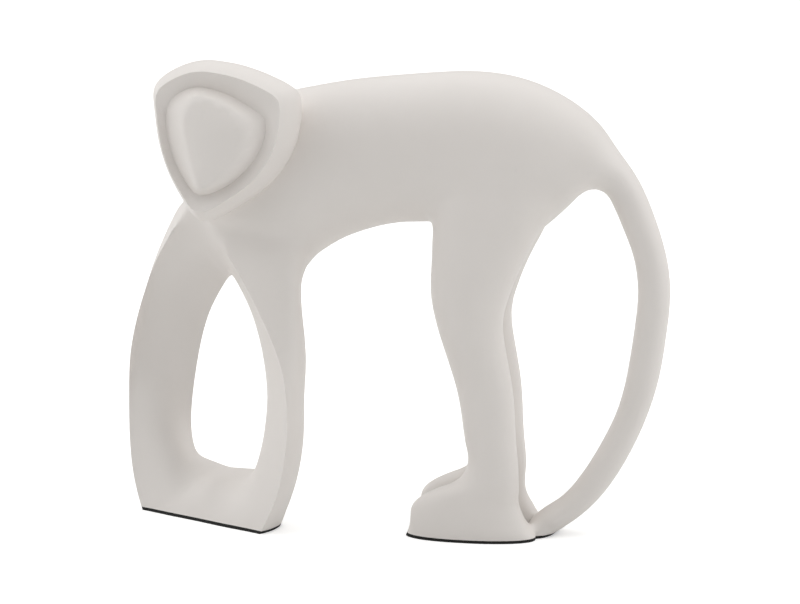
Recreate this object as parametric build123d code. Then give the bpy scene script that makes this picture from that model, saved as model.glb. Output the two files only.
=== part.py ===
"""Standing monkey figurine: one resin casting on two thin black pads.

The trunk lies along X with the tail towards +X, and the hind legs mirror each other in the plane Y = 0.
The arms and the bar between the hands form an arch that stands askew in plan, and the head looks towards -Y.
Z = 0 is the surface that the pads stand on. Lengths are millimetres and angles are degrees.
"""

import os
from math import cos, pi, radians, sin

from build123d import *

# Trunk
trunk_length = 150.0
trunk_height = 70.0
trunk_width = 54.0
trunk_level = 185.0

# Tail
tail_bow = 31.0
tail_thickness = 16.0
tail_width = 18.0

# Hind legs and feet
leg_height = 150.0
foot_length = 64.6
stance_half_width = 27.2

# Arch of the arms, and the window between them
arch_turn = 152.5
arch_half_width = 50.3
arch_height = 162.0
arch_depth = 22.0
arch_lean = 15.0
window_half_width = 26.0
window_sill = 23.5
window_top = 118.0

# Head
head_turn = -98.0
head_nod = 4.0
head_depth = 30.0
rim_half_width = 31.0
rim_half_height = 33.0
groove_depth = 5.0
mound_half_width = 25.2
mound_half_height = 25.4
mound_height = 7.5

# Pads
pad_thickness = 1.5

section_points = 16

# Where the other parts stand along the trunk and beside it
root_share = 0.679
toe_share = 0.043
arch_forward_share = -0.632
arch_aside_share = -0.196
head_forward_share = -0.535
head_aside_share = -0.71
head_level_share = 0.088
mound_aside_share = -0.07

# Trunk and rump, from the breast to the tail's root: place along, level, height, width, and tilt in degrees
trunk_shares = [
    (-0.69, -0.19, 0.71, 0.48, 0),
    (-0.57, -0.21, 1.00, 0.78, 0),
    (-0.44, -0.23, 1.17, 0.93, 0),
    (-0.32, -0.205, 1.22, 0.98, 0),
    (-0.227, -0.115, 1.12, 0.98, 0),
    (-0.127, -0.045, 1.05, 0.98, 0),
    (0.0, 0.005, 1.01, 0.98, 0),
    (0.133, 0.022, 1.025, 1.0, 0),
    (0.267, 0.02, 1.04, 1.05, 0),
    (0.38, -0.03, 1.05, 1.05, 5),
    (0.48, -0.08, 0.93, 0.93, 14),
    (0.57, -0.12, 0.70, 0.74, 23),
]
# Tail, from its root to the heels: bow behind the line from root to heel, level, thickness, width, tilt in degrees
tail_shares = [
    (-0.30, 0.958, 1.50, 1.68, 38),
    (-0.055, 0.935, 1.09, 1.23, 56),
    (0.374, 0.84, 1.0, 1.0, 62),
    (0.685, 0.746, 0.95, 0.98, 78),
    (0.88, 0.651, 0.96, 0.97, 89),
    (0.958, 0.549, 0.96, 0.95, 96),
    (0.994, 0.443, 0.96, 0.93, 101),
    (0.961, 0.337, 0.90, 0.92, 107),
    (0.806, 0.228, 0.90, 0.92, 118),
    (0.52, 0.118, 0.86, 1.0, 129),
    (0.26, 0.064, 0.80, 1.2, 138),
    (-0.15, -0.006, 0.78, 1.5, 143),
]
root_level_share = 0.84
# Hind leg, from the sole up: level, front, back, outer side, inner side
leg_shares = [
    (-0.04, 0.0, 0.96, 1.0, 0.10),
    (0.013, 0.0, 0.96, 1.0, 0.10),
    (0.067, 0.012, 0.885, 0.975, 0.13),
    (0.113, 0.06, 0.835, 0.94, 0.165),
    (0.153, 0.21, 0.832, 0.92, 0.18),
    (0.19, 0.38, 0.83, 0.90, 0.18),
    (0.227, 0.44, 0.826, 0.88, 0.165),
    (0.30, 0.436, 0.81, 0.88, 0.15),
    (0.467, 0.377, 0.785, 0.92, 0.15),
    (0.62, 0.27, 0.725, 0.975, 0.13),
    (0.72, 0.203, 0.71, 1.01, 0.11),
    (0.787, 0.176, 0.75, 1.04, 0.07),
    (0.88, 0.176, 0.835, 1.066, 0.0),
    (1.0, 0.18, 0.985, 1.077, -0.07),
    (1.107, 0.20, 1.09, 1.05, -0.15),
    (1.213, 0.27, 1.05, 0.92, -0.15),
]
leg_squareness = 2.2
# Half outlines of the arch and its hollow, from the middle below to the middle above: side, level
arch_near_shares = [
    (0.0, -0.07), (0.36, -0.07), (0.63, -0.03), (0.79, 0.05), (0.93, 0.145), (1.03, 0.28),
    (1.045, 0.41), (0.96, 0.55), (0.64, 0.725), (0.30, 0.85), (0.0, 1.0),
]
arch_far_shares = [
    (0.0, -0.07), (0.42, -0.07), (0.74, -0.03), (0.89, 0.05), (0.965, 0.155), (0.98, 0.29),
    (0.95, 0.42), (0.87, 0.565), (0.69, 0.735), (0.38, 0.905), (0.0, 1.0),
]
dish_near_shares = [
    (0.0, 0.0), (0.42, 0.0), (0.68, 0.015), (0.83, 0.07), (0.955, 0.165), (1.045, 0.32),
    (1.045, 0.45), (0.95, 0.60), (0.60, 0.80), (0.31, 0.92), (0.0, 1.0),
]
dish_far_shares = [
    (0.0, 0.0), (0.45, 0.0), (0.76, 0.01), (0.90, 0.065), (0.965, 0.165), (0.98, 0.32),
    (0.955, 0.45), (0.875, 0.60), (0.66, 0.80), (0.38, 0.92), (0.0, 1.0),
]
window_front_shares = [
    (0.0, 0.0), (0.40, 0.0), (0.66, 0.07), (0.80, 0.155), (0.91, 0.27), (0.985, 0.41),
    (1.0, 0.52), (0.93, 0.65), (0.70, 0.81), (0.40, 0.93), (0.0, 1.0),
]
window_back_shares = [
    (0.0, 0.0), (0.45, 0.01), (0.80, 0.04), (0.95, 0.11), (1.0, 0.22), (0.97, 0.36),
    (0.89, 0.50), (0.77, 0.645), (0.56, 0.80), (0.27, 0.93), (0.0, 1.0),
]
# Above this level the arch leans towards the trunk, in full one rise further up
lean_start_share = 0.42
lean_rise_share = 0.31
# Layers of the arch, front to back: depth, near half, far half, top, near lean, far lean
arch_layer_shares = [
    (-0.82, 0.965, 0.975, 1.0, 0.0, 0.0),
    (0.0, 1.0, 1.0, 1.0, 0.0, 0.0),
    (0.45, 1.0, 1.02, 1.02, 1.22, 0.1),
    (0.77, 0.935, 0.98, 1.02, 1.2, 0.0),
    (1.0, 0.79, 0.845, 0.99, 1.05, 0.0),
]
# Layers of the hollow, front to back: depth, then how far its sides, sill and top go from window to arch
hollow_layer_shares = [
    (-0.82, 1.975, 1.975, 1.81, 1.09, dish_near_shares, dish_far_shares),
    (0.0, 0.926, 0.926, 0.872, 0.66, dish_near_shares, dish_far_shares),
    (0.364, 0.34, 0.43, 0.277, 0.318, window_front_shares, window_front_shares),
    (0.91, 0.0, 0.105, 0.02, 0.068, window_back_shares, window_back_shares),
    (1.55, -0.04, 0.065, 0.0, 0.0, window_back_shares, window_back_shares),
]
# Outlines of the head's rim, the raised face and its brow, seen from in front: side, level
rim_shares = [
    (-0.17, 1.0), (0.29, 0.93), (0.66, 0.81), (0.93, 0.67), (1.0, 0.46), (0.96, 0.10), (0.80, -0.26),
    (0.52, -0.57), (0.13, -0.83), (-0.28, -1.0), (-0.54, -0.79), (-0.77, -0.43), (-0.93, 0.0),
    (-1.0, 0.42), (-0.97, 0.71), (-0.62, 0.93),
]
mound_shares = [
    (-0.20, 1.0), (0.27, 0.88), (0.62, 0.715), (0.90, 0.55), (1.0, 0.35), (0.945, 0.03), (0.79, -0.29),
    (0.54, -0.58), (0.17, -0.85), (-0.30, -0.99), (-0.57, -0.77), (-0.78, -0.44), (-0.93, -0.06),
    (-1.0, 0.33), (-0.93, 0.71), (-0.62, 0.95),
]
brow_shares = [
    (-0.17, 0.84), (0.20, 0.74), (0.47, 0.60), (0.67, 0.43), (0.745, 0.23), (0.71, -0.01), (0.59, -0.25),
    (0.40, -0.49), (0.14, -0.70), (-0.17, -0.84), (-0.32, -0.66), (-0.43, -0.33), (-0.51, 0.0),
    (-0.57, 0.32), (-0.56, 0.60), (-0.42, 0.78),
]
# Layers of the head from the nape to the rim: depth behind the rim, width, height
head_layer_shares = [(1.0, 0.85, 0.80), (0.4, 1.165, 1.155), (0.0, 1.0, 1.0)]
# Layers of the face from the foot of the groove to the middle of the brow: rise, size, outline
face_layer_shares = [
    (0.0, 1.0, mound_shares),
    (0.86, 1.0, brow_shares),
    (0.97, 0.84, brow_shares),
    (1.0, 0.4, brow_shares),
]

sideways = Vector(0, 1, 0)
arch_across = Vector(cos(radians(arch_turn)), sin(radians(arch_turn)), 0)
arch_back = Vector(sin(radians(arch_turn)), -cos(radians(arch_turn)), 0)
arch_place = Vector(arch_forward_share * trunk_length, arch_aside_share * trunk_width, 0)
head_front = Vector(
    cos(radians(head_turn)) * cos(radians(head_nod)),
    sin(radians(head_turn)) * cos(radians(head_nod)),
    sin(radians(head_nod)),
)
head_right = Vector(-sin(radians(head_turn)), cos(radians(head_turn)), 0)
head_up = head_front.cross(head_right)
head_place = Vector(
    head_forward_share * trunk_length,
    head_aside_share * trunk_width,
    trunk_level + head_level_share * trunk_height,
)


def closed_curve(points):
    """Smooth closed curve through the points, with even knots so that neighbouring sections match."""
    knots = [index / len(points) for index in range(len(points) + 1)]
    return Wire([Edge.make_spline(points, periodic=True, parameters=knots)])


def rounded_section(centre, along, across, half_along, half_across, squareness=2):
    """Rounded closed section in the plane of two unit directions. It starts at its end along."""
    points = []
    for index in range(section_points):
        angle = 2 * pi * index / section_points
        c, s = cos(angle), sin(angle)
        radius = (abs(c) ** squareness + abs(s) ** squareness) ** (-1 / squareness)
        points.append(centre + along * (half_along * radius * c) + across * (half_across * radius * s))
    return closed_curve(points)


def spine_section(x, level, height, width, tilt):
    """Section of the trunk or tail, tilted backwards about Y."""
    along = Vector(sin(radians(tilt)), 0, cos(radians(tilt)))
    return rounded_section(Vector(x, 0, level), along, sideways, height / 2, width / 2)


def make_trunk_and_tail():
    """One smooth body from the breast over the rump to the tip of the tail."""
    wires = []
    for place, rise, height, width, tilt in trunk_shares:
        x = place * trunk_length
        level = trunk_level + rise * trunk_height
        wires.append(spine_section(x, level, height * trunk_height, width * trunk_width, tilt))
    root = root_share * trunk_length
    heel = toe_share * trunk_length + foot_length
    for bow, rise, thickness, width, tilt in tail_shares:
        x = heel + (root - heel) * rise / root_level_share + bow * tail_bow
        level = rise * trunk_level
        wires.append(spine_section(x, level, thickness * tail_thickness, width * tail_width, tilt))
    return Solid.make_loft(wires)


def make_hind_leg(side):
    """Foot, leg and thigh in one, through level sections. Side is -1 for the near leg and 1 for the far."""
    toe = toe_share * trunk_length
    wires = []
    for level, front, back, outer, inner in leg_shares:
        middle = Vector(
            toe + foot_length * (front + back) / 2,
            side * stance_half_width * (outer + inner) / 2,
            level * leg_height,
        )
        half_length = foot_length * (back - front) / 2
        half_width = stance_half_width * (outer - inner) / 2
        wires.append(rounded_section(
            middle, sideways * side, Vector(1, 0, 0), half_width, half_length, leg_squareness,
        ))
    return Solid.make_loft(wires)


def arch_outline(near_shares, far_shares, depth, near_half, far_half, sill, top, near_lean=0, far_lean=0):
    """Closed outline in an upright plane of the arch, up its near side and down its far side."""
    points = []
    near = (-1, near_half, near_lean, near_shares[:-1])
    far = (1, far_half, far_lean, far_shares[:0:-1])
    for side, half, lean, rows in (near, far):
        for out, level in rows:
            rise = max(0, (level - lean_start_share) / lean_rise_share)
            shift = lean * rise ** 1.5 if out else 0
            across = side * (half * out + shift)
            height = Vector(0, 0, sill + level * (top - sill))
            points.append(arch_place + height + arch_across * across + arch_back * depth)
    return closed_curve(points)


def make_arch():
    """Outer form of both arms and the bar between the hands."""
    wires = []
    for depth, near, far, top, near_lean, far_lean in arch_layer_shares:
        wires.append(arch_outline(
            arch_near_shares, arch_far_shares, depth * arch_depth, near * arch_half_width, far * arch_half_width,
            0, top * arch_height, near_lean * arch_lean, far_lean * arch_lean,
        ))
    return Solid.make_loft(wires)


def make_hollow():
    """The window between the arms, with the dished front that leaves a ridge down each arm."""
    arm_width = arch_half_width - window_half_width
    wires = []
    for depth, near, far, sill, top, near_shares, far_shares in hollow_layer_shares:
        wires.append(arch_outline(
            near_shares, far_shares, depth * arch_depth,
            window_half_width + near * arm_width, window_half_width + far * arm_width,
            window_sill - sill * window_sill, window_top + top * (arch_height - window_top),
        ))
    return Solid.make_loft(wires)


def head_outline(shares, half_width, half_height, forward, aside=0):
    """Closed outline in a plane parallel to the face."""
    middle = head_place + head_front * forward + head_right * aside
    return closed_curve([
        middle + head_right * (half_width * across) + head_up * (half_height * up) for across, up in shares
    ])


def mound_outline(shares, size, forward):
    """Closed outline of the raised face, which sits a little aside in the rim."""
    aside = mound_aside_share * rim_half_width
    return head_outline(shares, size * mound_half_width, size * mound_half_height, forward, aside)


def make_head():
    """Head sewn from the skull's sides and the stepped face, which goes down into the groove and up to the brow."""
    skull = Solid.make_loft([
        head_outline(rim_shares, rim_half_width * width, rim_half_height * height, -head_depth * back)
        for back, width, height in head_layer_shares
    ])
    rim = head_outline(rim_shares, rim_half_width, rim_half_height, 0)
    steps = [
        mound_outline(shares, size, rise * mound_height - groove_depth)
        for rise, size, shares in face_layer_shares
    ]
    face = Solid.make_loft([rim] + steps, ruled=True)
    skull_sides = skull.faces().sort_by(lambda side: side.center().dot(head_front))[:-1]
    face_steps = face.faces().sort_by(SortBy.AREA)[:-1]
    return Solid(Shell(skull_sides + face_steps))


def make_figure():
    """The whole casting before its underside is cut flat."""
    figure = make_trunk_and_tail() + make_hind_leg(-1) + make_hind_leg(1) + make_arch()
    return figure - make_hollow() + make_head()


def write_parts():
    """Cuts the underside flat, takes the pads from the same outline and centres the whole on the origin."""
    figure = make_figure()
    size = figure.bounding_box().diagonal
    above = Pos(0, 0, pad_thickness + size) * Box(2 * size, 2 * size, 2 * size)
    layer = Pos(0, 0, pad_thickness / 2) * Box(2 * size, 2 * size, pad_thickness)
    casting = figure & above
    pads = sorted((figure & layer).solids(), key=lambda pad: pad.center().X)
    box = casting.bounding_box()
    to_origin = Pos(-box.center().X, -box.center().Y, 0)
    os.makedirs("parts", exist_ok=True)
    for name, solid in (("cast_figure", casting), ("front_pad", pads[0]), ("rear_pad", pads[-1])):
        export_step(to_origin * solid, f"parts/{name}.step")


if __name__ == "__main__":
    write_parts()
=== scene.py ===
"""Studio scene of a monkey figurine: one casting of satin resin on two thin black foam pads."""

import math

import bmesh
import bpy
from mathutils import Matrix, Vector
from mathutils.bvhtree import BVHTree
from mathutils.kdtree import KDTree


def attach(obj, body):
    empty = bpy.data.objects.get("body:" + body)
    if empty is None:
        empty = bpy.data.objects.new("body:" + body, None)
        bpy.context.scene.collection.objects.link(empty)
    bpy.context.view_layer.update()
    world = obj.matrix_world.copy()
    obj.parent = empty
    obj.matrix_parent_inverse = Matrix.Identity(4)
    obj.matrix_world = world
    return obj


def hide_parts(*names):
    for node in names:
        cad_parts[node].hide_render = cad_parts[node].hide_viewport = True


bl_info = {
    "name": "Monkey figurine",
    "version": (1, 0, 0),
    "blender": (4, 5, 0),
    "location": "View3D > Sidebar > Figurine",
    "description": "Builds the cast monkey figurine, its pads and a pale studio around them",
    "category": "Add Mesh",
}

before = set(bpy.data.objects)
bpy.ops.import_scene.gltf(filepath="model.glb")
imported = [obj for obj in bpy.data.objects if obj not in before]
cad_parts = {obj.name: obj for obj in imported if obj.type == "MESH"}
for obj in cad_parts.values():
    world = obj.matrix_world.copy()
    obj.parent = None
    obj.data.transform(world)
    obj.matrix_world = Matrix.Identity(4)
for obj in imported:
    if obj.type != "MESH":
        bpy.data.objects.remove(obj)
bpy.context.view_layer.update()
MM = 0.001

# Middle of the face, and the ways that it looks and leans
FACE_MIDDLE = Vector((-75.8, -31.8, 191.2)) * MM
FACE_FRONT = Vector((-0.139, -0.988, 0.07)).normalized()
FACE_RIGHT = Vector((0.99, -0.139, 0))
FACE_UP = FACE_FRONT.cross(FACE_RIGHT)
# What lies within this radius and not further back than this belongs to the stepped face
FACE_RADIUS = 39 * MM
FACE_DEPTH = 7 * MM
FACE_EDGE_ANGLE = math.radians(15)
# Depth of the groove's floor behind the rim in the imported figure
GROOVE_DEPTH = 5 * MM
# Points of an outline of the face are this near to its depth, and at least this share of the radius out
OUTLINE_SLACK = 0.15 * MM
OUTLINE_SHARE = 0.4
# The dome dips in full at this share of the way to the foot of the raised face, and fades out over the last one
BROW_SHARE = 0.72
DOME_FADE_SHARE = 0.25
# Joins are left crisp up to here from the middle of the face, and the softening comes in over the fade
HEAD_REACH = 41 * MM
HEAD_FADE = 16 * MM
# The underside keeps its edges up to here, and the softening comes in over the same rise
SOLE_RISE = 2.5 * MM
# The arms below this height and the window between them have no joins
JOINS_FROM_HEIGHT = 128 * MM
JOINS_FROM_LENGTH = -25 * MM
# Spacing of the points that stand for the joins
SEAM_STEP = 0.3 * MM
# A point lies on the second skin in full where this times its weight is one or more
FOLLOW_GAIN = 2.5
# How often the long triangles of the joins are split, and how far each pass of smoothing goes
SPLIT_ROUNDS = 4
SMOOTH_FACTOR = 0.8
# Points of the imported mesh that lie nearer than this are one
PACKED_GAP = 0.005 * MM
# Points of the joins that end up nearer than this are merged, and shorter edges than the next are dissolved
LEAST_GAP = 0.35 * MM
LEAST_EDGE = 0.01 * MM
# Slivers smaller than this have no edges of their own
LEAST_AREA = 0.002 * MM * MM
# A triangle of the joins whose normal has a smaller cosine with the second skin's than this is folded
FOLD_COSINE = 0.4
FOLD_ROUNDS = 4
# Depths of the lacquer's grain, of the master's ripple and of the foam's cells
GRAIN_DEPTH = 0.03 * MM
RIPPLE_DEPTH = 0.12 * MM
BUMP_STRENGTH = 0.35
CELL_DEPTH = 0.15 * MM
CELL_STRENGTH = 0.6
# Half the floor's side and how far the camera sees, in metres
FLOOR_HALF = 8
SIGHT = 50
# Width of the camera's sensor in millimetres, and of the picture that its focal length is given for
SENSOR_WIDTH = 36
PICTURE_WIDTH = 800
# A wall of the tent shines on what lies within this cosine of its middle
WALL_COSINE = 0.4
# Corners that are filled with a row of beads before they are smoothed: the armpit and the back of the thighs
ARMPIT = ((-40, -11, 132), (-41, -7, 131.3), (-41.6, -3, 130.8), (-42.6, 1, 129.8), (-43.6, 4, 128.5))
THIGHS = ((76, -12, 154), (77, -6, 153.5), (77.5, 0, 153), (77.5, 6, 153), (77, 12, 153))
ARMPIT_BEAD = 5 * MM
THIGH_BEAD = 2.5 * MM
BEADS = [(Vector(place) * MM, ARMPIT_BEAD) for place in ARMPIT]
BEADS += [(Vector(place) * MM, THIGH_BEAD) for place in THIGHS]


class CastingSettings(bpy.types.PropertyGroup):
    """Sizes and colours of the casting."""

    skin_grid: bpy.props.FloatProperty(
        name="Skin grid", description="Spacing of the points on the casting's skin",
        default=0.8 * MM, min=0.5 * MM, unit="LENGTH")
    join_reach: bpy.props.FloatProperty(
        name="Join reach", description="How far the softened joins between limbs and trunk spread",
        default=13 * MM, min=0, unit="LENGTH")
    join_passes: bpy.props.IntProperty(
        name="Join passes", description="How often the joins are smoothed", default=150, min=0)
    corner_reach: bpy.props.FloatProperty(
        name="Corner reach", description="How far the filled corners spread",
        default=18 * MM, min=0, unit="LENGTH")
    corner_passes: bpy.props.IntProperty(
        name="Corner passes", description="How often the filled corners are smoothed", default=400, min=0)
    relax_passes: bpy.props.IntProperty(
        name="Relax passes", description="How often the finished joins are evened out", default=20, min=0)
    seam_angle: bpy.props.FloatProperty(
        name="Seam angle", description="A hollow edge sharper than this is softened",
        default=math.radians(12), subtype="ANGLE")
    edge_angle: bpy.props.FloatProperty(
        name="Edge angle", description="An edge sharper than this is shaded as an edge",
        default=math.radians(35), subtype="ANGLE")
    fine_length: bpy.props.FloatProperty(
        name="Fine length", description="Longest side of the triangles in the softened joins",
        default=1.5 * MM, unit="LENGTH")
    mound_gain: bpy.props.FloatProperty(
        name="Mound gain", description="Height of the raised face, as a share of the packed figure's",
        default=1.33, min=0.1)
    groove_gain: bpy.props.FloatProperty(
        name="Groove gain", description="Depth of the groove, as a share of the packed figure's",
        default=0.62, min=0.1)
    brow_dome: bpy.props.FloatProperty(
        name="Brow dome", description="How far the brow swells in its middle",
        default=1.0 * MM, unit="LENGTH")
    lacquer_tint: bpy.props.StringProperty(
        name="Lacquer", description="Colour of the lacquer as sRGB hex", default="EAE5E1")
    lacquer_shade: bpy.props.StringProperty(
        name="Lacquer shade", description="Colour where the lacquer lies a little thicker", default="E4DFDA")
    tone_size: bpy.props.FloatProperty(
        name="Tone size", description="Width of the faint patches in the lacquer's tone",
        default=38 * MM, unit="LENGTH")
    grain_size: bpy.props.FloatProperty(
        name="Grain size", description="Spacing of the fine grain that spraying leaves",
        default=0.9 * MM, unit="LENGTH")
    ripple_size: bpy.props.FloatProperty(
        name="Ripple size", description="Spacing of the shallow unevenness of the sanded master",
        default=11 * MM, unit="LENGTH")


class PadSettings(bpy.types.PropertyGroup):
    """Sizes and colours of the pads."""

    foam_tint: bpy.props.StringProperty(
        name="Foam", description="Colour of the foam as sRGB hex", default="171716")
    cell_size: bpy.props.FloatProperty(
        name="Cell size", description="Width of the cells in the foam's cut face",
        default=0.5 * MM, unit="LENGTH")


class StageSettings(bpy.types.PropertyGroup):
    """Camera, floor and light."""

    azimuth: bpy.props.FloatProperty(
        name="Azimuth", description="How far right of the front the camera stands",
        default=math.radians(10), subtype="ANGLE")
    elevation: bpy.props.FloatProperty(
        name="Elevation", description="How far above the level the camera stands",
        default=math.radians(10.5), subtype="ANGLE")
    distance: bpy.props.FloatProperty(
        name="Distance", description="From the camera to the point that it is aimed at",
        default=1.4, unit="LENGTH")
    focal_pixels: bpy.props.FloatProperty(
        name="Focal length", description="Focal length in pixels of an 800 pixel wide picture", default=2909)
    aim: bpy.props.FloatVectorProperty(
        name="Aim", description="The point that the camera is aimed at",
        default=(4.426 * MM, 6.558 * MM, 111 * MM), subtype="XYZ")
    floor_tint: bpy.props.StringProperty(
        name="Floor", description="Colour of the floor as sRGB hex", default="E9E9E8")
    floor_lift: bpy.props.FloatProperty(
        name="Floor lift", description="Light that the floor adds for the camera alone", default=0.42)
    tent_level: bpy.props.FloatProperty(
        name="Tent", description="Even light of the white tent", default=0.03)
    left_light: bpy.props.FloatProperty(
        name="Left light", description="Light of the tent's left wall", default=1.5)
    right_light: bpy.props.FloatProperty(
        name="Right light", description="Light of the tent's right wall", default=1.35)
    top_light: bpy.props.FloatProperty(
        name="Top light", description="Light of the tent's roof", default=1.45)
    back_light: bpy.props.FloatProperty(
        name="Back light", description="Light of the tent's back wall", default=0.4)


def linear(hex_tint):
    """Turns an sRGB hex colour into the linear colour that shaders take."""
    shares = [int(hex_tint[i:i + 2], 16) / 255 for i in (0, 2, 4)]
    return tuple(s / 12.92 if s <= 0.04045 else ((s + 0.055) / 1.055) ** 2.4 for s in shares) + (1,)


def add_node(tree, kind, inputs=None, **settings):
    """Adds a node with its settings. An input given another node's output is linked to it."""
    node = tree.nodes.new(kind)
    for name, value in settings.items():
        setattr(node, name, value)
    for name, value in (inputs or {}).items():
        if isinstance(value, bpy.types.NodeSocket):
            tree.links.new(value, node.inputs[name])
        else:
            node.inputs[name].default_value = value
    return node


def new_tree(owner):
    """Empties the node tree of a material or a world and returns it."""
    owner.use_nodes = True
    owner.node_tree.nodes.clear()
    return owner.node_tree


def cast_resin(settings):
    """Polyester casting resin with stone filler, sanded and sprayed with satin lacquer.

    The eye sees an even warm white, a broad soft sheen on every turn, and a very fine grain.
    """
    material = bpy.data.materials.new("satin_cast_resin")
    tree = new_tree(material)
    place = add_node(tree, "ShaderNodeTexCoord").outputs["Object"]
    tone = add_node(
        tree, "ShaderNodeTexNoise", {"Vector": place, "Scale": 1 / settings.tone_size, "Detail": 3})
    tint = add_node(
        tree, "ShaderNodeMix",
        {0: tone.outputs["Fac"], 6: linear(settings.lacquer_tint), 7: linear(settings.lacquer_shade)},
        data_type="RGBA")
    grain = add_node(
        tree, "ShaderNodeTexNoise", {"Vector": place, "Scale": 1 / settings.grain_size, "Detail": 2})
    ripple = add_node(
        tree, "ShaderNodeTexNoise", {"Vector": place, "Scale": 1 / settings.ripple_size, "Detail": 1})
    rippled = add_node(
        tree, "ShaderNodeBump",
        {"Height": ripple.outputs["Fac"], "Strength": BUMP_STRENGTH, "Distance": RIPPLE_DEPTH})
    grained = add_node(
        tree, "ShaderNodeBump",
        {"Height": grain.outputs["Fac"], "Strength": BUMP_STRENGTH, "Distance": GRAIN_DEPTH,
         "Normal": rippled.outputs["Normal"]})
    gloss = add_node(
        tree, "ShaderNodeMapRange", {"Value": tone.outputs["Fac"], "To Min": 0.40, "To Max": 0.50})
    shader = add_node(
        tree, "ShaderNodeBsdfPrincipled",
        {"Base Color": tint.outputs[2], "Roughness": gloss.outputs["Result"], "IOR": 1.52,
         "Normal": grained.outputs["Normal"]})
    add_node(tree, "ShaderNodeOutputMaterial", {"Surface": shader.outputs["BSDF"]})
    return material


def eva_foam(settings):
    """Black closed-cell EVA foam, cut from sheet. The eye sees a dull black edge with tiny cells."""
    material = bpy.data.materials.new("black_eva_foam")
    tree = new_tree(material)
    place = add_node(tree, "ShaderNodeTexCoord").outputs["Object"]
    cells = add_node(tree, "ShaderNodeTexVoronoi", {"Vector": place, "Scale": 1 / settings.cell_size})
    cut = add_node(
        tree, "ShaderNodeBump",
        {"Height": cells.outputs["Distance"], "Strength": CELL_STRENGTH, "Distance": CELL_DEPTH})
    shader = add_node(
        tree, "ShaderNodeBsdfPrincipled",
        {"Base Color": linear(settings.foam_tint), "Roughness": 0.85, "IOR": 1.49,
         "Normal": cut.outputs["Normal"]})
    add_node(tree, "ShaderNodeOutputMaterial", {"Surface": shader.outputs["BSDF"]})
    return material


def copy_of_node(node, name):
    """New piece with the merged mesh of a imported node."""
    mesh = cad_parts[node].data.copy()
    mesh.name = name
    bm = bmesh.new()
    bm.from_mesh(mesh)
    bmesh.ops.remove_doubles(bm, verts=bm.verts, dist=PACKED_GAP)
    bm.to_mesh(mesh)
    bm.free()
    piece = bpy.data.objects.new(name, mesh)
    bpy.context.scene.collection.objects.link(piece)
    return piece


def finish_mesh(piece):
    """Turns the piece's modifiers into plain mesh."""
    view = bpy.context.evaluated_depsgraph_get()
    mesh = bpy.data.meshes.new_from_object(piece.evaluated_get(view))
    piece.modifiers.clear()
    piece.data = mesh


def dress(piece, material):
    """Gives the piece its one material and its place on the body."""
    piece.data.materials.clear()
    piece.data.materials.append(material)
    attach(piece, "root")


def sharp_points(mesh, angle, side):
    """Points along the sharp edges of the mesh. Side is 1 for raised edges and -1 for hollow ones."""
    bm = bmesh.new()
    bm.from_mesh(mesh)
    points = []
    for edge in bm.edges:
        if len(edge.link_faces) == 2 and edge.calc_face_angle_signed() * side > angle:
            ends = [vert.co for vert in edge.verts]
            steps = 1 + int(edge.calc_length() / SEAM_STEP)
            points += [ends[0].lerp(ends[1], step / steps) for step in range(steps + 1)]
    bm.free()
    return points


def tree_of(points):
    """Search tree for the nearest of the points."""
    tree = KDTree(len(points))
    for index, point in enumerate(points):
        tree.insert(point, index)
    tree.balance()
    return tree


def on_face(point):
    """Tells whether a point belongs to the stepped face, which stays crisp."""
    offset = point - FACE_MIDDLE
    return offset.length < FACE_RADIUS and offset.dot(FACE_FRONT) > -FACE_DEPTH


def on_join(point):
    """Tells whether a point of a hollow edge belongs to a join that is softened."""
    return not on_face(point) and (point.x > JOINS_FROM_LENGTH or point.z > JOINS_FROM_HEIGHT)


def polar(point):
    """Depth, angle and distance of a point, seen along the way that the face looks."""
    offset = point - FACE_MIDDLE
    right, up = offset.dot(FACE_RIGHT), offset.dot(FACE_UP)
    return offset.dot(FACE_FRONT), math.atan2(up, right), math.hypot(right, up)


def ring_around(points, depth):
    """Distance of an outline of the face at each angle, from its points at one depth."""
    ring = []
    for point in points:
        own_depth, angle, distance = polar(point)
        if abs(own_depth - depth) < OUTLINE_SLACK and OUTLINE_SHARE * FACE_RADIUS < distance < FACE_RADIUS:
            ring.append((angle, distance))
    nearest = tree_of([Vector((math.cos(angle), math.sin(angle), 0)) for angle, _ in ring])
    return lambda angle: ring[nearest.find(Vector((math.cos(angle), math.sin(angle), 0)))[1]][1]


def shape_face(mesh, settings):
    """Makes the groove shallower, raises the middle of the face and swells the brow. The rim stays."""
    crest_at = ring_around(sharp_points(mesh, FACE_EDGE_ANGLE, 1), 0)
    foot_at = ring_around(sharp_points(mesh, FACE_EDGE_ANGLE, -1), -GROOVE_DEPTH)
    for vert in mesh.vertices:
        depth, angle, distance = polar(vert.co)
        if not on_face(vert.co) or distance > crest_at(angle):
            continue
        if distance < foot_at(angle):
            share = distance / foot_at(angle)
            dome = max(-1, 1 - 2 * (share / BROW_SHARE) ** 2) * min(1, (1 - share) / DOME_FADE_SHARE)
            rise = (depth + GROOVE_DEPTH) * settings.mound_gain + settings.brow_dome * dome
            height = rise - GROOVE_DEPTH * settings.groove_gain
        else:
            height = min(0, depth) * settings.groove_gain
        vert.co += FACE_FRONT * (height - depth)


def fading_weight(points, reach):
    """Weight from one at the points to nothing at the reach. It is nothing at the face and the underside."""
    nearest = tree_of(points)

    def weight_at(place):
        near = max(0, 1 - nearest.find(place)[2] / reach)
        away = min(1, max(0, ((place - FACE_MIDDLE).length - HEAD_REACH) / HEAD_FADE))
        above = min(1, max(0, place.z / SOLE_RISE - 1))
        return away * above * near * near * (3 - 2 * near)
    return weight_at


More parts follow.
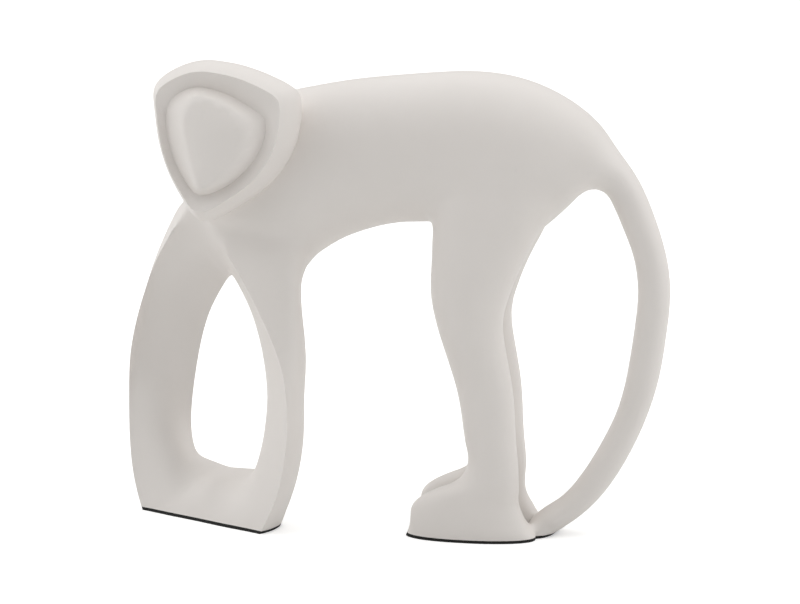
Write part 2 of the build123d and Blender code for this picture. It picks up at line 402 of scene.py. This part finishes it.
def refine(mesh, weight_at, longest):
    """Splits the long triangles in the joins, so that these can take a smooth curve."""
    bm = bmesh.new()
    bm.from_mesh(mesh)
    for _ in range(SPLIT_ROUNDS):
        long_edges = [
            edge for edge in bm.edges
            if edge.calc_length() > longest and weight_at((edge.verts[0].co + edge.verts[1].co) / 2) > 0]
        bmesh.ops.subdivide_edges(bm, edges=long_edges, cuts=1)
        bmesh.ops.triangulate(bm, faces=[face for face in bm.faces if len(face.verts) > 3])
    bm.to_mesh(mesh)
    bm.free()


def soften(piece, name, weight_at, passes):
    """Adds smoothing that is as strong as the weight at each point."""
    group = piece.vertex_groups.new(name=name)
    for vert in piece.data.vertices:
        weight = weight_at(vert.co)
        if weight > 0:
            group.add([vert.index], weight, "REPLACE")
    smooth = piece.modifiers.new(name, "SMOOTH")
    smooth.vertex_group = name
    smooth.factor = SMOOTH_FACTOR
    smooth.iterations = passes


def beaded_copy(mesh):
    """New piece with a copy of the mesh and the beads in its corners."""
    bm = bmesh.new()
    bm.from_mesh(mesh)
    for place, radius in BEADS:
        bmesh.ops.create_icosphere(bm, subdivisions=3, radius=radius, matrix=Matrix.Translation(place))
    skin = bpy.data.objects.new("skin", bpy.data.meshes.new("skin"))
    bm.to_mesh(skin.data)
    bm.free()
    bpy.context.scene.collection.objects.link(skin)
    return skin


def softened_skin(casting, joins_at, corners_at, settings):
    """Search tree of a second skin on an even grid, whose joins and corners are smoothed."""
    skin = beaded_copy(casting.data)
    grid = skin.modifiers.new("grid", "REMESH")
    grid.mode = "VOXEL"
    grid.voxel_size = settings.skin_grid
    finish_mesh(skin)
    soften(skin, "joins", joins_at, settings.join_passes)
    soften(skin, "corners", corners_at, settings.corner_passes)
    tree = BVHTree.FromObject(skin, bpy.context.evaluated_depsgraph_get())
    bpy.data.objects.remove(skin)
    return tree


def pull_onto(mesh, weight_at, skin):
    """Moves the points of the joins onto the second skin, in full where the weight is large."""
    for vert in mesh.vertices:
        weight = min(1, FOLLOW_GAIN * weight_at(vert.co))
        if weight > 0:
            vert.co = vert.co.lerp(skin.find_nearest(vert.co)[0], weight)


def merge_close(mesh, weight_at, skin):
    """Merges the points of the joins that lie very close to each other and draws folded places together."""
    bm = bmesh.new()
    bm.from_mesh(mesh)
    joined = [vert for vert in bm.verts if weight_at(vert.co) > 0]
    bmesh.ops.remove_doubles(bm, verts=joined, dist=LEAST_GAP)
    for _ in range(FOLD_ROUNDS):
        bm.normal_update()
        folded = set()
        for face in bm.faces:
            middle = face.calc_center_median()
            if weight_at(middle) > 0 and face.normal.dot(skin.find_nearest(middle)[1]) < FOLD_COSINE:
                folded.update(face.edges)
        bmesh.ops.collapse(bm, edges=list(folded))
    bmesh.ops.dissolve_degenerate(bm, edges=bm.edges, dist=LEAST_EDGE)
    bmesh.ops.triangulate(bm, faces=bm.faces)
    bm.to_mesh(mesh)
    bm.free()


def mark_edges(mesh, angle, weight_at):
    """Shades the mesh smooth, but for the sharp edges outside the joins that lie behind the rim's plane."""
    bm = bmesh.new()
    bm.from_mesh(mesh)
    for face in bm.faces:
        face.smooth = True
    for edge in bm.edges:
        middle = (edge.verts[0].co + edge.verts[1].co) / 2
        sharp = edge.calc_face_angle(0) > angle
        sliver = min(face.calc_area() for face in edge.link_faces) <= LEAST_AREA
        edge.smooth = not sharp or sliver or weight_at(middle) > 0 or polar(middle)[0] > 0
    bm.to_mesh(mesh)
    bm.free()


class FIGURINE_OT_casting(bpy.types.Operator):
    """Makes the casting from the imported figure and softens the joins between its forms"""

    bl_idname = "figurine.casting"
    bl_label = "Casting"

    def execute(self, context):
        settings = context.scene.figurine_casting
        casting = copy_of_node("cast_figure", "monkey_casting")
        shape_face(casting.data, settings)
        seams = [point for point in sharp_points(casting.data, settings.seam_angle, -1) if on_join(point)]
        joins_at = fading_weight(seams, settings.join_reach)
        corners_at = fading_weight([place for place, _ in BEADS], settings.corner_reach)

        def either_at(place):
            return max(joins_at(place), corners_at(place))

        mark_edges(casting.data, settings.edge_angle, either_at)
        refine(casting.data, either_at, settings.fine_length)
        skin = softened_skin(casting, joins_at, corners_at, settings)
        pull_onto(casting.data, either_at, skin)
        merge_close(casting.data, either_at, skin)
        soften(casting, "relax", either_at, settings.relax_passes)
        finish_mesh(casting)
        casting.vertex_groups.clear()
        dress(casting, cast_resin(settings))
        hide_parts("cast_figure")
        return {"FINISHED"}


class FIGURINE_OT_pads(bpy.types.Operator):
    """Gives both pads their cut foam"""

    bl_idname = "figurine.pads"
    bl_label = "Pads"

    def execute(self, context):
        foam = eva_foam(context.scene.figurine_pads)
        for name in ("front_pad", "rear_pad"):
            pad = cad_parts[name]
            for slot in pad.material_slots:
                slot.material = foam
        return {"FINISHED"}


class FIGURINE_OT_stage(bpy.types.Operator):
    """Sets the floor, the white tent and the camera"""

    bl_idname = "figurine.stage"
    bl_label = "Stage"

    def execute(self, context):
        settings = context.scene.figurine_stage
        self.add_floor(context, settings)
        self.add_tent(context, settings)
        self.add_camera(context, settings)
        return {"FINISHED"}

    def add_floor(self, context, settings):
        mesh = bpy.data.meshes.new("floor")
        bm = bmesh.new()
        bmesh.ops.create_grid(bm, x_segments=1, y_segments=1, size=FLOOR_HALF)
        bm.to_mesh(mesh)
        bm.free()
        floor = bpy.data.objects.new("floor", mesh)
        context.scene.collection.objects.link(floor)
        material = bpy.data.materials.new("white_studio_paper")
        tree = new_tree(material)
        paper = add_node(tree, "ShaderNodeBsdfDiffuse", {"Color": linear(settings.floor_tint)})
        camera_only = add_node(tree, "ShaderNodeLightPath").outputs["Is Camera Ray"]
        lift = add_node(
            tree, "ShaderNodeMath", {0: camera_only, 1: settings.floor_lift}, operation="MULTIPLY")
        glow = add_node(tree, "ShaderNodeEmission", {"Strength": lift.outputs[0]})
        both = add_node(tree, "ShaderNodeAddShader", {0: paper.outputs[0], 1: glow.outputs[0]})
        add_node(tree, "ShaderNodeOutputMaterial", {"Surface": both.outputs[0]})
        mesh.materials.append(material)

    def add_tent(self, context, settings):
        world = bpy.data.worlds.new("white_tent")
        context.scene.world = world
        tree = new_tree(world)
        way = add_node(tree, "ShaderNodeTexCoord").outputs["Generated"]
        total = settings.tent_level
        walls = (
            (Vector((-1, 0, 0)), settings.left_light),
            (Vector((1, 0, 0)), settings.right_light),
            (Vector((0, 0, 1)), settings.top_light),
            (Vector((0, 1, 0)), settings.back_light),
        )
        for side, strength in walls:
            facing = add_node(tree, "ShaderNodeVectorMath", {0: way, 1: side}, operation="DOT_PRODUCT")
            light = add_node(
                tree, "ShaderNodeMapRange",
                {"Value": facing.outputs["Value"], "From Min": WALL_COSINE, "To Max": strength},
                interpolation_type="SMOOTHSTEP")
            total = add_node(
                tree, "ShaderNodeMath", {0: light.outputs["Result"], 1: total}, operation="ADD").outputs[0]
        tent = add_node(tree, "ShaderNodeBackground", {"Color": (1, 1, 1, 1), "Strength": total})
        white = add_node(tree, "ShaderNodeBackground", {"Color": (1, 1, 1, 1), "Strength": 1})
        camera_only = add_node(tree, "ShaderNodeLightPath").outputs["Is Camera Ray"]
        shown = add_node(
            tree, "ShaderNodeMixShader", {0: camera_only, 1: tent.outputs[0], 2: white.outputs[0]})
        add_node(tree, "ShaderNodeOutputWorld", {"Surface": shown.outputs[0]})

    def add_camera(self, context, settings):
        camera = bpy.data.cameras.new("camera")
        camera.sensor_width = SENSOR_WIDTH
        camera.lens = camera.sensor_width * settings.focal_pixels / PICTURE_WIDTH
        camera.clip_end = SIGHT
        holder = bpy.data.objects.new("camera", camera)
        side = self.camera_side(settings)
        holder.location = Vector(settings.aim) + side * settings.distance
        holder.rotation_euler = (-side).to_track_quat("-Z", "Y").to_euler()
        context.scene.collection.objects.link(holder)
        context.scene.camera = holder

    def camera_side(self, settings):
        """Direction from the figure to the camera."""
        level = math.cos(settings.elevation)
        across = math.sin(settings.azimuth) * level
        ahead = math.cos(settings.azimuth) * level
        return Vector((across, -ahead, math.sin(settings.elevation)))


class FIGURINE_PT_panel(bpy.types.Panel):
    """Lists the steps that build the figurine."""

    bl_label = "Monkey figurine"
    bl_idname = "FIGURINE_PT_panel"
    bl_space_type = "VIEW_3D"
    bl_region_type = "UI"
    bl_category = "Figurine"

    def draw(self, context):
        steps = (
            (FIGURINE_OT_casting, context.scene.figurine_casting),
            (FIGURINE_OT_pads, context.scene.figurine_pads),
            (FIGURINE_OT_stage, context.scene.figurine_stage),
        )
        for step, settings in steps:
            box = self.layout.box()
            for name in settings.__annotations__:
                box.prop(settings, name)
            box.operator(step.bl_idname)


CLASSES = (
    CastingSettings,
    PadSettings,
    StageSettings,
    FIGURINE_OT_casting,
    FIGURINE_OT_pads,
    FIGURINE_OT_stage,
    FIGURINE_PT_panel,
)


def register():
    for cls in CLASSES:
        bpy.utils.register_class(cls)
    bpy.types.Scene.figurine_casting = bpy.props.PointerProperty(type=CastingSettings)
    bpy.types.Scene.figurine_pads = bpy.props.PointerProperty(type=PadSettings)
    bpy.types.Scene.figurine_stage = bpy.props.PointerProperty(type=StageSettings)


def unregister():
    del bpy.types.Scene.figurine_stage
    del bpy.types.Scene.figurine_pads
    del bpy.types.Scene.figurine_casting
    for cls in reversed(CLASSES):
        bpy.utils.unregister_class(cls)


def main():
    """Builds the figurine and its studio."""
    register()
    bpy.context.scene.view_settings.view_transform = "Standard"
    bpy.ops.figurine.stage()
    bpy.ops.figurine.casting()
    bpy.ops.figurine.pads()


if __name__ == "__main__":
    main()
